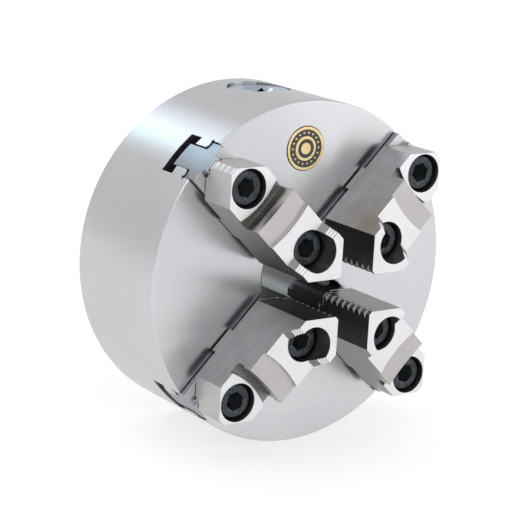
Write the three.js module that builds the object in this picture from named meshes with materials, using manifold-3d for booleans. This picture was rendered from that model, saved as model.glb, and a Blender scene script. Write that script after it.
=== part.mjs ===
// Four-jaw self-centring lathe chuck, size 160, with two-piece reversible stepped jaws.
//
// Turning a key in either pinion turns the scroll plate through bevel teeth. The spiral thread on the
// front of the scroll plate draws the four master jaws in or out together along their slots, and each
// master jaw carries a stepped top jaw, keyed by a tongue and a cross tenon and held by two screws.
//
// Everything is in millimetres. Shapes are made in the chuck's own frame: Z is the chuck axis, 0 at the
// back mounting plane and bodyDepth at the front face, X points right and Y up as seen from the front.
// A jaw is made along X and turned into its slot. The last lines turn the chuck so its front faces -Y
// and +Z is up. The origin is the centre of the back mounting plane, on the spindle axis.

import * as THREE from 'three';
import { mergeVertices } from 'three/addons/utils/BufferGeometryUtils.js';
import Module from 'manifold-3d';

const wasm = await Module();
wasm.setup();

const { degToRad } = THREE.MathUtils;
const tau = 2 * Math.PI;

// Body
const bodyRadius = 80;
const bodyDepth = 64;
const rimChamfer = 0.8;
const boreRadius = 21;
const boreMouthChamfer = 1.3;
const registerRadius = 62.5;
const registerDepth = 5;
const hubRadius = 27;
const chamberRadius = 54.5;
const chamberFront = 46;
const mountCircleRadius = 70;
const mountHoleRadius = 4.25;
const mountHoleDepth = 18;
const mountHoleCount = 3;

// Fits
const slideGap = 0.3;
const seatGap = 0.2;

// Jaw slots, cut from the bore out through the rim
const slotHalfWidth = 10.5;
const neckSlotHalfWidth = 6.4;
const headSlotFloor = 59;
const flangeSlotTop = 50.2;
const scrollFace = 42.1;
const jawAngles = [45, 135, 225, 315];

// Scroll plate
const scrollRadius = 53.5;
const scrollBore = 27.3;
const scrollBossRadius = 38.5;
const scrollBack = 29.3;
const scrollPitch = 8;
const threadStart = 30;
const threadThickness = 3.4;
const threadTurns = 2.75;
const threadStepsPerTurn = 40;
const threadTop = chamberFront - slideGap;

// Bevel drive: the two pitch cones meet where the pinion axis crosses the chuck axis
const pinionAxisHeight = 22.4;
const ringTeeth = 50;
const pinionTeeth = 10;
const gearRatio = ringTeeth / pinionTeeth;
const toothInnerEnd = 40.5;
const toothOuterEnd = scrollRadius - 0.5;
const gearModule = 2 * toothOuterEnd / ringTeeth;
const pressureAngle = degToRad(20);
const profileShift = 0.41;
const pinionAddendum = 1.1 * gearModule;
const pinionDedendum = (1.25 - profileShift) * gearModule;
const ringAddendum = (1 - profileShift) * gearModule;
const ringDedendum = 1.3 * gearModule;
const toothBacklash = 0.07 * gearModule;

// Pinions
const journalRadius = 13.2;
const pinionBoreRadius = 13.5;
const journalInner = 54.9;
const pinionHeadRadius = 14.5;
const pinionHeadStart = 71.3;
const pinionFace = 78.4;
const pilotRadius = 4.5;
const pilotEnd = 23;
const stopGrooveRadius = 10.4;
const stopGrooveHalfWidth = 2.7;
const stopGroovePlace = 68;
const keySquare = 10;
const keyDepth = 15;
const stopPinRadius = 2.4;
const stopPinOffset = 13.1;
const stopPinEnd = 31.5;

// Back cover and its screws
const coverRadius = 62.2;
const coverBack = registerDepth + 0.2;
const coverFront = 8.2;
const coverSeat = coverFront + slideGap;
const collarRadius = 33;
const coverScrewCircle = 57.5;
const coverScrewCount = 6;
const coverScrewRadius = 2;
const coverScrewEnd = 19;
const coverScrewHeadRadius = 3.7;

// Master jaws
const jawTip = 13.2;
const tipHalfWidth = 1.1;
const masterTop = 67.6;
const masterHeadHalfWidth = slotHalfWidth - slideGap;
const masterNeckHalfWidth = neckSlotHalfWidth - slideGap;
const masterEnd = 79.3;
const flangeBottom = chamberFront;
const flangeEnd = 66;
const tongueHalfWidth = 3.9;
const tongueTop = 70.4;
const jawToothBottom = scrollFace + slideGap;
const jawToothThickness = 3.3;
const jawToothOuterFlank = 28;
const jawToothInnerFlank = 58;
const jawToothMeanRadius = 40;
const jawToothCount = 6;
const firstToothFrom = 17;
const crossTenonPlace = 48.7;
const crossTenonHalfWidth = 6.35;
const crossSlotFloor = bodyDepth;

// Top jaws
const topJawHalfWidth = 12.5;
const topJawBottom = masterTop + slideGap;
const levelA = bodyDepth + 40.8;
const levelB = bodyDepth + 33.6;
const levelC = bodyDepth + 32;
const levelD = bodyDepth + 23.7;
const grooveFloor = bodyDepth + 21.6;
const slopeCrest = 29.2;
const slopeFoot = 34;
const slopeToothCount = 3;
const slopeToothDepth = 0.5;
const stepBC = 46.3;
const stepBCRadius = 52;
const stepCD = 55.8;
const stepCDRadius = 120;
const ledgeD = 60.8;
const ledgeDRadius = 36;
const outerShoulder = 68.6;
const outerTip = 79.2;
const outerTipHalfWidth = 1.9;
const serrationPitch = 4.1;
const serrationDepth = 1.5;

// Jaw screws, M10 socket head
const screwSpacing = 38.1;
const innerScrewPlace = crossTenonPlace - screwSpacing / 2;
const outerScrewPlace = crossTenonPlace + screwSpacing / 2;
const screwHeadRadius = 8;
const screwHeadHeight = 10;
const screwShankRadius = 4.9;
const screwTapRadius = 5.2;
const screwPassRadius = 5.5;
const counterboreRadius = 8.8;
const screwTapEnd = 53;
const screwEnd = 54.5;
const innerHeadTop = bodyDepth + 30.8;
const outerHeadTop = bodyDepth + 21.3;
const hexAcrossFlats = 8;
const hexDepth = 5.5;

// Badge
const badgeRadius = 10;
const badgeBack = bodyDepth - 0.7;
const badgeFront = bodyDepth + 0.4;
const badgePlace = new THREE.Vector2(-1.9, 58.2);

// ---- Making, joining and cutting solids ----

function solidOf(geometry) {
  const bare = geometry.clone();
  bare.deleteAttribute('normal');
  bare.deleteAttribute('uv');
  const merged = mergeVertices(bare, 1e-4);
  const corners = merged.index.array;
  const kept = [];
  for (let at = 0; at < corners.length; at += 3) {
    const [a, b, c] = corners.slice(at, at + 3);
    if (a !== b && b !== c && c !== a) {
      kept.push(a, b, c);
    }
  }
  return new wasm.Manifold(new wasm.Mesh({
    numProp: 3,
    vertProperties: new Float32Array(merged.attributes.position.array),
    triVerts: new Uint32Array(kept),
  }));
}

function geometryOf(solid) {
  const mesh = solid.getMesh();
  const geometry = new THREE.BufferGeometry();
  geometry.setAttribute('position', new THREE.BufferAttribute(new Float32Array(mesh.vertProperties), 3));
  geometry.setIndex(new THREE.BufferAttribute(new Uint32Array(mesh.triVerts), 1));
  return geometry;
}

function join(first, ...others) {
  return others.reduce((whole, piece) => whole.add(piece), first);
}

function cut(first, ...tools) {
  return tools.reduce((whole, tool) => whole.subtract(tool), first);
}

// A ring or disc turned about Z from a closed outline of [radius, height] points, listed anticlockwise.
function turnedGeometry(outline, segments) {
  const points = outline.map(([radius, height]) => new THREE.Vector2(radius, height));
  points.push(points[0].clone());
  const geometry = new THREE.LatheGeometry(points, segments);
  geometry.rotateX(Math.PI / 2);
  return geometry;
}

function rodGeometry(radius, bottom, top, segments) {
  const geometry = new THREE.CylinderGeometry(radius, radius, top - bottom, segments);
  geometry.rotateX(Math.PI / 2);
  geometry.translate(0, 0, (bottom + top) / 2);
  return geometry;
}

function coneGeometry(bottomRadius, topRadius, bottom, top, segments) {
  const geometry = new THREE.CylinderGeometry(topRadius, bottomRadius, top - bottom, segments);
  geometry.rotateX(Math.PI / 2);
  geometry.translate(0, 0, (bottom + top) / 2);
  return geometry;
}

function boxGeometry(fromX, toX, fromY, toY, fromZ, toZ) {
  const geometry = new THREE.BoxGeometry(toX - fromX, toY - fromY, toZ - fromZ);
  geometry.translate((fromX + toX) / 2, (fromY + toY) / 2, (fromZ + toZ) / 2);
  return geometry;
}

// An outline in the XY plane, given as Vector2 points, standing from bottom to top along Z.
function prismGeometry(points, bottom, top) {
  const geometry = new THREE.ExtrudeGeometry(new THREE.Shape(points), {
    depth: top - bottom,
    bevelEnabled: false,
  });
  geometry.translate(0, 0, bottom);
  return geometry;
}

// Points along the arc that passes through (place, +-halfWidth) and bulges towards -X.
function inwardArc(place, radius, halfWidth, steps) {
  const centre = place + Math.sqrt(radius ** 2 - halfWidth ** 2);
  const reach = Math.asin(halfWidth / radius);
  const points = [];
  for (let step = 0; step <= steps; step += 1) {
    const angle = Math.PI - reach + 2 * reach * step / steps;
    points.push(new THREE.Vector2(centre + radius * Math.cos(angle), radius * Math.sin(angle)));
  }
  return points;
}

// Pinions and their bores are made along Z and laid along +Y, crossing the chuck axis at their height.
function layAcross(geometry) {
  return geometry.rotateX(-Math.PI / 2).translate(0, 0, pinionAxisHeight);
}

function placedAround(radius, degrees) {
  const angle = degToRad(degrees);
  return [radius * Math.cos(angle), radius * Math.sin(angle), 0];
}

// ---- Body ----

function bodyBlank() {
  return solidOf(turnedGeometry([
    [boreRadius, registerDepth + rimChamfer],
    [boreRadius + rimChamfer, registerDepth],
    [hubRadius, registerDepth],
    [hubRadius, chamberFront],
    [chamberRadius, chamberFront],
    [chamberRadius, coverSeat],
    [registerRadius, coverSeat],
    [registerRadius, 0],
    [bodyRadius - rimChamfer, 0],
    [bodyRadius, rimChamfer],
    [bodyRadius, bodyDepth - rimChamfer],
    [bodyRadius - rimChamfer, bodyDepth],
    [boreRadius + boreMouthChamfer, bodyDepth],
    [boreRadius, bodyDepth - boreMouthChamfer],
  ], 60));
}

function jawSlotTools() {
  const start = boreRadius / 2;
  const end = bodyRadius + 5;
  const wide = slotHalfWidth;
  const narrow = neckSlotHalfWidth;
  return [
    boxGeometry(start, end, -wide, wide, headSlotFloor, bodyDepth + 1),
    boxGeometry(start, end, -narrow, narrow, flangeSlotTop - 1, headSlotFloor + 1),
    boxGeometry(start, end, -wide, wide, scrollFace, flangeSlotTop),
  ];
}

function pinionBoreTools() {
  const headBoreRadius = pinionHeadRadius + pinionBoreRadius - journalRadius;
  return [
    rodGeometry(pinionBoreRadius, chamberRadius - 8, bodyRadius, 32),
    rodGeometry(headBoreRadius, pinionHeadStart - slideGap, bodyRadius + 2, 32),
    rodGeometry(pilotRadius + slideGap, pilotEnd - slideGap, hubRadius + 2, 16),
  ].map(layAcross);
}

function stopHoleTool() {
  const tool = rodGeometry(stopPinRadius + seatGap, -1, stopPinEnd + slideGap, 12);
  return tool.translate(stopPinOffset, stopGroovePlace, 0);
}

function chuckBody() {
  const tools = [];
  for (const degrees of jawAngles) {
    tools.push(...jawSlotTools().map(tool => tool.rotateZ(degToRad(degrees))));
  }
  for (const degrees of [0, 180]) {
    const drive = [...pinionBoreTools(), stopHoleTool()];
    tools.push(...drive.map(tool => tool.rotateZ(degToRad(degrees))));
  }
  for (let hole = 0; hole < mountHoleCount; hole += 1) {
    const place = placedAround(mountCircleRadius, 360 * hole / mountHoleCount);
    tools.push(rodGeometry(mountHoleRadius, -1, mountHoleDepth, 16).translate(...place));
    tools.push(coneGeometry(mountHoleRadius + 1.5, mountHoleRadius - 0.2, -0.7, 1, 16).translate(...place));
  }
  for (let screw = 0; screw < coverScrewCount; screw += 1) {
    const place = placedAround(coverScrewCircle, 360 * screw / coverScrewCount);
    const tool = rodGeometry(coverScrewRadius + seatGap, coverSeat - 1, coverScrewEnd + 1, 10);
    tools.push(tool.translate(...place));
  }
  tools.push(rodGeometry(badgeRadius + seatGap, badgeBack - seatGap, bodyDepth + 1, 36)
    .translate(badgePlace.x, badgePlace.y, 0));
  return geometryOf(cut(bodyBlank(), ...tools.map(solidOf)));
}

// ---- Back cover ----

function backCover() {
  const blank = turnedGeometry([
    [scrollBore, coverBack],
    [coverRadius, coverBack],
    [coverRadius, coverFront],
    [collarRadius, coverFront],
    [collarRadius, scrollBack - slideGap],
    [scrollBore, scrollBack - slideGap],
  ], 48);
  const tools = [];
  for (const degrees of [0, 180]) {
    const pilotHole = layAcross(rodGeometry(pilotRadius + 0.8, hubRadius - 2, collarRadius + 2, 14));
    tools.push(pilotHole.rotateZ(degToRad(degrees)));
  }
  for (let screw = 0; screw < coverScrewCount; screw += 1) {
    const place = placedAround(coverScrewCircle, 360 * screw / coverScrewCount);
    const sink = coverScrewHeadRadius + seatGap;
    tools.push(rodGeometry(coverScrewRadius + seatGap, coverBack - 1, coverFront + 1, 12).translate(...place));
    tools.push(coneGeometry(sink + 0.5, 0.5, coverBack - 0.5, coverBack + sink - 0.5, 12).translate(...place));
  }
  return geometryOf(cut(solidOf(blank), ...tools.map(solidOf)));
}

function coverScrew() {
  const neck = coverScrewHeadRadius - coverScrewRadius;
  const shape = turnedGeometry([
    [0, coverBack + 0.1],
    [coverScrewHeadRadius, coverBack + 0.1],
    [coverScrewRadius, coverBack + 0.1 + neck],
    [coverScrewRadius, coverScrewEnd],
    [0, coverScrewEnd],
  ], 12);
  const socket = rodGeometry(2.5 / Math.sqrt(3), coverBack - 1, coverBack + 1.5, 6);
  return geometryOf(cut(solidOf(shape), solidOf(socket)));
}

// ---- Scroll plate ----

function spiralThreadOutline() {
  const outer = [];
  const inner = [];
  const steps = Math.round(threadTurns * threadStepsPerTurn);
  for (let step = 0; step <= steps; step += 1) {
    const angle = tau * step / threadStepsPerTurn;
    const middle = threadStart + scrollPitch * angle / tau;
    const along = new THREE.Vector2(Math.cos(angle), Math.sin(angle));
    outer.push(along.clone().multiplyScalar(middle + threadThickness / 2));
    inner.unshift(along.clone().multiplyScalar(middle - threadThickness / 2));
  }
  return [...outer, ...inner];
}

// Stretches a gear outline drawn at the teeth's outer end into a body that shrinks towards the apex.
function taperedGeometry(points, from, to) {
  const geometry = prismGeometry(points, from, to);
  const places = geometry.attributes.position;
  for (let at = 0; at < places.count; at += 1) {
    const scale = places.getZ(at) / toothOuterEnd;
    places.setXY(at, places.getX(at) * scale, places.getY(at) * scale);
  }
  return geometry;
}

// A straight-flanked ring tooth, drawn with X along the circumference and Y away from the plate.
function ringToothOutline() {
  const pitchHalf = gearModule * (Math.PI / 4 - profileShift * Math.tan(pressureAngle)) - toothBacklash;
  const sink = ringDedendum + 0.8;
  const tipHalf = pitchHalf - ringAddendum * Math.tan(pressureAngle);
  const rootHalf = pitchHalf + sink * Math.tan(pressureAngle);
  const pitchLine = -toothOuterEnd / gearRatio;
  return [
    new THREE.Vector2(-rootHalf, pitchLine - sink),
    new THREE.Vector2(rootHalf, pitchLine - sink),
    new THREE.Vector2(tipHalf, pitchLine + ringAddendum),
    new THREE.Vector2(-tipHalf, pitchLine + ringAddendum),
  ];
}

function scrollPlate() {
  const rootSlope = 1 / gearRatio + ringDedendum / toothOuterEnd;
  const rootAt = radius => pinionAxisHeight + rootSlope * radius;
  const blank = solidOf(turnedGeometry([
    [scrollBore, scrollBack],
    [scrollBossRadius, scrollBack],
    [scrollBossRadius, rootAt(scrollBossRadius)],
    [scrollRadius, rootAt(scrollRadius)],
    [scrollRadius, scrollFace],
    [scrollBore, scrollFace],
  ], 48));
  const thread = solidOf(prismGeometry(spiralThreadOutline(), scrollFace - 0.5, threadTop));
  const teeth = [];
  for (let tooth = 0; tooth < ringTeeth; tooth += 1) {
    const shape = layAcross(taperedGeometry(ringToothOutline(), toothInnerEnd, toothOuterEnd));
    teeth.push(solidOf(shape.rotateZ(tau * tooth / ringTeeth - tau / 4)));
  }
  return geometryOf(join(blank, thread, ...teeth));
}

// ---- Pinions ----

function involute(angle) {
  return Math.tan(angle) - angle;
}

// Half the angle that a pinion tooth spans at a radius; below the base circle its flanks run radially.
function pinionToothHalfAngle(radius) {
  const pitchRadius = gearModule * pinionTeeth / 2;
  const baseRadius = pitchRadius * Math.cos(pressureAngle);
  const pitchHalf = gearModule * (Math.PI / 4 + profileShift * Math.tan(pressureAngle)) - toothBacklash;
  const angle = Math.acos(Math.min(1, baseRadius / radius));
  return pitchHalf / pitchRadius + involute(pressureAngle) - involute(angle);
}

function pinionOutline() {
  const pitchRadius = gearModule * pinionTeeth / 2;
  const baseRadius = pitchRadius * Math.cos(pressureAngle);
  const rootRadius = pitchRadius - pinionDedendum;
  const tipRadius = pitchRadius + pinionAddendum;
  const radii = [rootRadius, baseRadius, pitchRadius, (pitchRadius + tipRadius) / 2, tipRadius];
  const points = [];
  for (let tooth = 0; tooth < pinionTeeth; tooth += 1) {
    const middle = tau * (tooth / pinionTeeth + 1 / 4);
    for (const radius of radii) {
      const angle = middle - pinionToothHalfAngle(radius);
      points.push(new THREE.Vector2(radius * Math.cos(angle), radius * Math.sin(angle)));
    }
    for (const radius of [...radii].reverse()) {
      const angle = middle + pinionToothHalfAngle(radius);
      points.push(new THREE.Vector2(radius * Math.cos(angle), radius * Math.sin(angle)));
    }
  }
  return points;
}

function pinion() {
  const coreRadius = gearModule * pinionTeeth / 2 - pinionDedendum;
  const shaft = solidOf(turnedGeometry([
    [0, pilotEnd],
    [pilotRadius, pilotEnd],
    [pilotRadius, toothInnerEnd + 0.5],
    [coreRadius * 0.75, toothInnerEnd + 0.5],
    [coreRadius * 0.98, toothOuterEnd - 0.2],
    [coreRadius * 0.98, journalInner],
    [journalRadius, journalInner],
    [journalRadius, stopGroovePlace - stopGrooveHalfWidth],
    [stopGrooveRadius, stopGroovePlace - stopGrooveHalfWidth],
    [stopGrooveRadius, stopGroovePlace + stopGrooveHalfWidth],
    [journalRadius, stopGroovePlace + stopGrooveHalfWidth],
    [journalRadius, pinionHeadStart],
    [pinionHeadRadius, pinionHeadStart],
    [pinionHeadRadius, pinionFace - 0.8],
    [pinionHeadRadius - 0.8, pinionFace],
    [0, pinionFace],
  ], 24));
  const teeth = solidOf(taperedGeometry(pinionOutline(), toothInnerEnd, toothOuterEnd));
  const half = keySquare / 2;
  const socket = solidOf(boxGeometry(-half, half, -half, half, pinionFace - keyDepth, pinionFace + 1));
  const mouth = solidOf(coneGeometry(half * 1.1, half * 1.1 + 2.4, pinionFace - 1.9, pinionFace + 0.5, 20));
  return geometryOf(cut(join(shaft, teeth), socket, mouth)).rotateX(-Math.PI / 2);
}

function pinionStop() {
  const pin = solidOf(rodGeometry(stopPinRadius, 0.8, stopPinEnd, 16));
  const socket = solidOf(rodGeometry(2.5 / Math.sqrt(3), -1, 4, 6));
  return geometryOf(cut(pin, socket));
}

// ---- Jaws ----

// The plan of a jaw: both ends taper at 45 degrees to a blunt tip.
function jawPlan(halfWidth, innerTip, outerFrom, outerTo, outerHalfWidth) {
  return [
    new THREE.Vector2(innerTip, -tipHalfWidth),
    new THREE.Vector2(innerTip + halfWidth - tipHalfWidth, -halfWidth),
    new THREE.Vector2(outerFrom, -halfWidth),
    new THREE.Vector2(outerTo, -outerHalfWidth),
    new THREE.Vector2(outerTo, outerHalfWidth),
    new THREE.Vector2(outerFrom, halfWidth),
    new THREE.Vector2(innerTip + halfWidth - tipHalfWidth, halfWidth),
    new THREE.Vector2(innerTip, tipHalfWidth),
  ];
}

// One jaw tooth in plan. Its outer flank is rounder than the tightest thread turn and its inner flank
// flatter than the widest one, so the tooth fits the thread's groove wherever the jaw stands.
function jawToothOutline(place) {
  const lean = scrollPitch / (tau * jawToothMeanRadius);
  const half = masterHeadHalfWidth;
  const steps = 6;
  const flank = (front, radius) => {
    const points = [];
    for (let step = 0; step <= steps; step += 1) {
      const across = half * (2 * step / steps - 1);
      const sag = radius - Math.sqrt(radius ** 2 - across ** 2);
      points.push(new THREE.Vector2(front - sag + lean * across, across));
    }
    return points;
  };
  const outer = flank(place + jawToothThickness / 2, jawToothOuterFlank);
  const inner = flank(place - jawToothThickness / 2, jawToothInnerFlank);
  return [...outer, ...inner.reverse()];
}

// The jaw teeth sit in the thread's grooves, which lie further out by a quarter pitch at each next jaw.
function firstToothPlace(degrees) {
  const groove = threadStart + scrollPitch * (degrees / 360 + 0.5);
  const turnsIn = Math.floor((groove - firstToothFrom) / scrollPitch);
  return groove - turnsIn * scrollPitch;
}

function masterJaw(degrees) {
  const wide = masterHeadHalfWidth;
  const narrow = masterNeckHalfWidth;
  const end = masterEnd + 1;
  const blank = join(
    solidOf(boxGeometry(jawTip, end, -wide, wide, headSlotFloor + slideGap, masterTop)),
    solidOf(boxGeometry(jawTip, end, -narrow, narrow, flangeSlotTop - 1, headSlotFloor + 1)),
    solidOf(boxGeometry(jawTip, flangeEnd, -wide, wide, flangeBottom, flangeSlotTop - slideGap)),
    solidOf(boxGeometry(jawTip, end, -tongueHalfWidth, tongueHalfWidth, masterTop - 1, tongueTop)),
  );
  const teeth = [];
  for (let tooth = 0; tooth < jawToothCount; tooth += 1) {
    const place = firstToothPlace(degrees) + tooth * scrollPitch;
    teeth.push(solidOf(prismGeometry(jawToothOutline(place), jawToothBottom, flangeBottom + 0.5)));
  }
  const plan = jawPlan(wide, jawTip, end, end + 1, wide);
  const wedge = solidOf(prismGeometry(plan, jawToothBottom - 1, tongueTop + 1));
  const rim = solidOf(rodGeometry(masterEnd, jawToothBottom - 1, tongueTop + 1, 96));
  const slotHalf = crossTenonHalfWidth + seatGap;
  const crossSlot = boxGeometry(crossTenonPlace - slotHalf, crossTenonPlace + slotHalf,
    -wide - 1, wide + 1, crossSlotFloor, tongueTop + 1);
  const holes = [innerScrewPlace, outerScrewPlace].map(place =>
    rodGeometry(screwTapRadius, screwTapEnd, tongueTop + 1, 12).translate(place, 0, 0));
  const body = join(blank, ...teeth).intersect(wedge).intersect(rim);
  return geometryOf(cut(body, solidOf(crossSlot), ...holes.map(solidOf)));
}

// A saw-toothed edge running up from bottom to top at a distance from the axis; depth is the way in.
function serratedEdge(place, depth, bottom, top) {
  const count = Math.floor((top - bottom - 1.5) / serrationPitch);
  const start = top - 1.2 - count * serrationPitch;
  const points = [new THREE.Vector2(place, bottom)];
  for (let tooth = 0; tooth < count; tooth += 1) {
    const foot = start + tooth * serrationPitch;
    points.push(new THREE.Vector2(place, foot));
    points.push(new THREE.Vector2(place + depth, foot + serrationPitch * 0.35));
    points.push(new THREE.Vector2(place, foot + serrationPitch * 0.7));
  }
  points.push(new THREE.Vector2(place, top));
  return points;
}

// The outer slope of the tall step: plain in its lower half, small saw teeth in its upper half.
function slopeEdge() {
  const foot = new THREE.Vector2(slopeFoot, levelB);
  const crest = new THREE.Vector2(slopeCrest, levelA);
  const rise = crest.clone().sub(foot);
  const inward = new THREE.Vector2(-rise.y, rise.x).setLength(slopeToothDepth);
  const pitch = 0.5 / slopeToothCount;
  const points = [foot];
  for (let tooth = 0; tooth < slopeToothCount; tooth += 1) {
    const start = 0.5 + tooth * pitch;
    points.push(foot.clone().addScaledVector(rise, start));
    points.push(foot.clone().addScaledVector(rise, start + pitch / 2).add(inward));
  }
  points.push(crest);
  return points;
}

// The stepped side view of a top jaw, drawn with X outwards and Y up the chuck axis, full width.
function topJawBlank() {
  const outline = [
    ...serratedEdge(outerTip, -serrationDepth / 2, topJawBottom, levelD).slice(0, -1),
    new THREE.Vector2(outerTip, levelB),
    ...slopeEdge(),
    ...serratedEdge(jawTip, serrationDepth, topJawBottom, levelA).reverse().slice(1),
  ];
  const geometry = prismGeometry(outline, -topJawHalfWidth - 1, topJawHalfWidth + 1);
  return solidOf(geometry.rotateX(Math.PI / 2));
}

function levelCutTool(arc, floor) {
  const far = outerTip + 5;
  const wide = topJawHalfWidth + 1.5;
  const outline = [...arc, new THREE.Vector2(far, -wide), new THREE.Vector2(far, wide)];
  return solidOf(prismGeometry(outline, floor, levelA + 5));
}

function topJaw() {
  const plan = jawPlan(topJawHalfWidth, jawTip, outerShoulder, outerTip, outerTipHalfWidth);
  const wide = topJawHalfWidth + 1.5;
  const arcBC = inwardArc(stepBC, stepBCRadius, wide, 7);
  const arcCD = inwardArc(stepCD, stepCDRadius, wide, 5);
  const arcD = inwardArc(ledgeD, ledgeDRadius, wide, 7);
  const grooveOutline = [...arcCD, ...arcD.reverse()];
  const tools = [
    levelCutTool(arcBC, levelC),
    levelCutTool(arcCD, levelD),
    solidOf(prismGeometry(grooveOutline, grooveFloor, levelD + 1)),
    solidOf(boxGeometry(0, outerTip + 5, -tongueHalfWidth - slideGap, tongueHalfWidth + slideGap,
      topJawBottom - 1, tongueTop + slideGap)),
  ];
  const blank = cut(topJawBlank(), ...tools);
  const tenon = solidOf(boxGeometry(crossTenonPlace - crossTenonHalfWidth, crossTenonPlace + crossTenonHalfWidth,
    -wide, wide, crossSlotFloor + slideGap, tongueTop + 2));
  const holes = [];
  for (const [place, headTop] of [[innerScrewPlace, innerHeadTop], [outerScrewPlace, outerHeadTop]]) {
    const seat = headTop - screwHeadHeight - seatGap;
    holes.push(solidOf(rodGeometry(counterboreRadius, seat, levelA + 1, 28).translate(place, 0, 0)));
    holes.push(solidOf(rodGeometry(screwPassRadius, crossSlotFloor, seat + 1, 12).translate(place, 0, 0)));
  }
  const footprint = solidOf(prismGeometry(plan, crossSlotFloor, levelA + 1));
  return geometryOf(cut(join(blank, tenon).intersect(footprint), ...holes));
}

function jawScrew(headTop) {
  const headBottom = headTop - screwHeadHeight;
  const shape = turnedGeometry([
    [0, screwEnd],
    [screwShankRadius - 1, screwEnd],
    [screwShankRadius, screwEnd + 1],
    [screwShankRadius, headBottom],
    [screwHeadRadius, headBottom],
    [screwHeadRadius, headTop - 0.9],
    [screwHeadRadius - 0.9, headTop],
    [0, headTop],
  ], 18);
  const socket = rodGeometry(hexAcrossFlats / Math.sqrt(3), headTop - hexDepth, headTop + 1, 6);
  return geometryOf(cut(solidOf(shape), solidOf(socket)));
}

function faceBadge() {
  return turnedGeometry([
    [0, badgeBack],
    [badgeRadius, badgeBack],
    [badgeRadius, badgeFront - 0.3],
    [badgeRadius - 0.3, badgeFront],
    [0, badgeFront],
  ], 32);
}

// ---- Finishes ----

function metal(color, roughness, metalness = 0.9) {
  return new THREE.MeshStandardMaterial({ color, roughness, metalness });
}

const turnedSteel = () => metal(0xc9c8ca, 0.35);
const groundSteel = () => metal(0xdcdadb, 0.28);
const machinedSteel = () => metal(0x9a9799, 0.4);
const blackOxide = () => metal(0x2a2d31, 0.45, 0.7);
const brass = () => metal(0xd8bf7a, 0.3);

// ---- Assembly ----

const chuck = new THREE.Group();

function add(parent, name, geometry, material) {
  const mesh = new THREE.Mesh(geometry, material);
  mesh.name = name;
  parent.add(mesh);
  return mesh;
}

add(chuck, 'chuck_body', chuckBody(), turnedSteel());
add(chuck, 'back_cover', backCover(), machinedSteel());
add(chuck, 'scroll_plate', scrollPlate(), machinedSteel());
add(chuck, 'face_badge', faceBadge(), brass()).position.set(badgePlace.x, badgePlace.y, 0);

for (let screw = 0; screw < coverScrewCount; screw += 1) {
  const mesh = add(chuck, `cover_screw_${screw + 1}`, coverScrew(), blackOxide());
  mesh.position.set(...placedAround(coverScrewCircle, 360 * screw / coverScrewCount));
}

for (const [place, degrees] of [['top', 0], ['bottom', 180]]) {
  const side = new THREE.Group();
  side.rotation.z = degToRad(degrees);
  chuck.add(side);
  add(side, `pinion_${place}`, pinion(), machinedSteel()).position.z = pinionAxisHeight;
  add(side, `pinion_stop_${place}`, pinionStop(), blackOxide())
    .position.set(stopPinOffset, stopGroovePlace, 0);
}

jawAngles.forEach((degrees, index) => {
  const jaw = new THREE.Group();
  jaw.rotation.z = degToRad(degrees);
  chuck.add(jaw);
  add(jaw, `master_jaw_${index + 1}`, masterJaw(degrees), machinedSteel());
  add(jaw, `top_jaw_${index + 1}`, topJaw(), groundSteel());
  add(jaw, `inner_jaw_screw_${index + 1}`, jawScrew(innerHeadTop), blackOxide())
    .position.x = innerScrewPlace;
  add(jaw, `outer_jaw_screw_${index + 1}`, jawScrew(outerHeadTop), blackOxide())
    .position.x = outerScrewPlace;
});

chuck.rotation.x = Math.PI / 2;

export default chuck;
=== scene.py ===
"""Looks of a four-jaw self-centring lathe chuck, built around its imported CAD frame.

Pieces are made in the chuck's own frame, in millimetres: Z is the chuck axis, 0 at the back mounting
plane and growing towards the front face, X points right and Y up as seen from the front. A jaw is made
along X and turned into its slot. place() then turns and scales a piece into the row frame.
"""
import math

import bmesh
import bpy
from mathutils import Matrix, Vector


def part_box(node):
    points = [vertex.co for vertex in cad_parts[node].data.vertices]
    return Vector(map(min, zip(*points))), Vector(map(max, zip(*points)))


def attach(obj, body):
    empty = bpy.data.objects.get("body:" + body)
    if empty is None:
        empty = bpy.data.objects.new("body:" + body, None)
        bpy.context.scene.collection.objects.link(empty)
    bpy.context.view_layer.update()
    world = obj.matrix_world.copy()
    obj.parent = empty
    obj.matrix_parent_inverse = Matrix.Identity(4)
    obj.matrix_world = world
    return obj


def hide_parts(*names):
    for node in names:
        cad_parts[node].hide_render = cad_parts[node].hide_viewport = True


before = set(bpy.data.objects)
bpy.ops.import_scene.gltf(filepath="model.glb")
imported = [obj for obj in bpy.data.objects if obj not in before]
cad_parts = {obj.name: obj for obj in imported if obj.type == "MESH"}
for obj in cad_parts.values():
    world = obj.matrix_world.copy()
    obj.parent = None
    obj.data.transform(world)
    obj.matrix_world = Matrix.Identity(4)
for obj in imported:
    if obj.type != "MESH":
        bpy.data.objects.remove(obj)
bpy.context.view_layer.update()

MM = 0.001
TAU = 2 * math.pi
BODY_STEPS = 240
FAR = 5  # how far a cutting tool reaches past what it cuts

# ---- Dimensions shared with the CAD model, in millimetres ----

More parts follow.
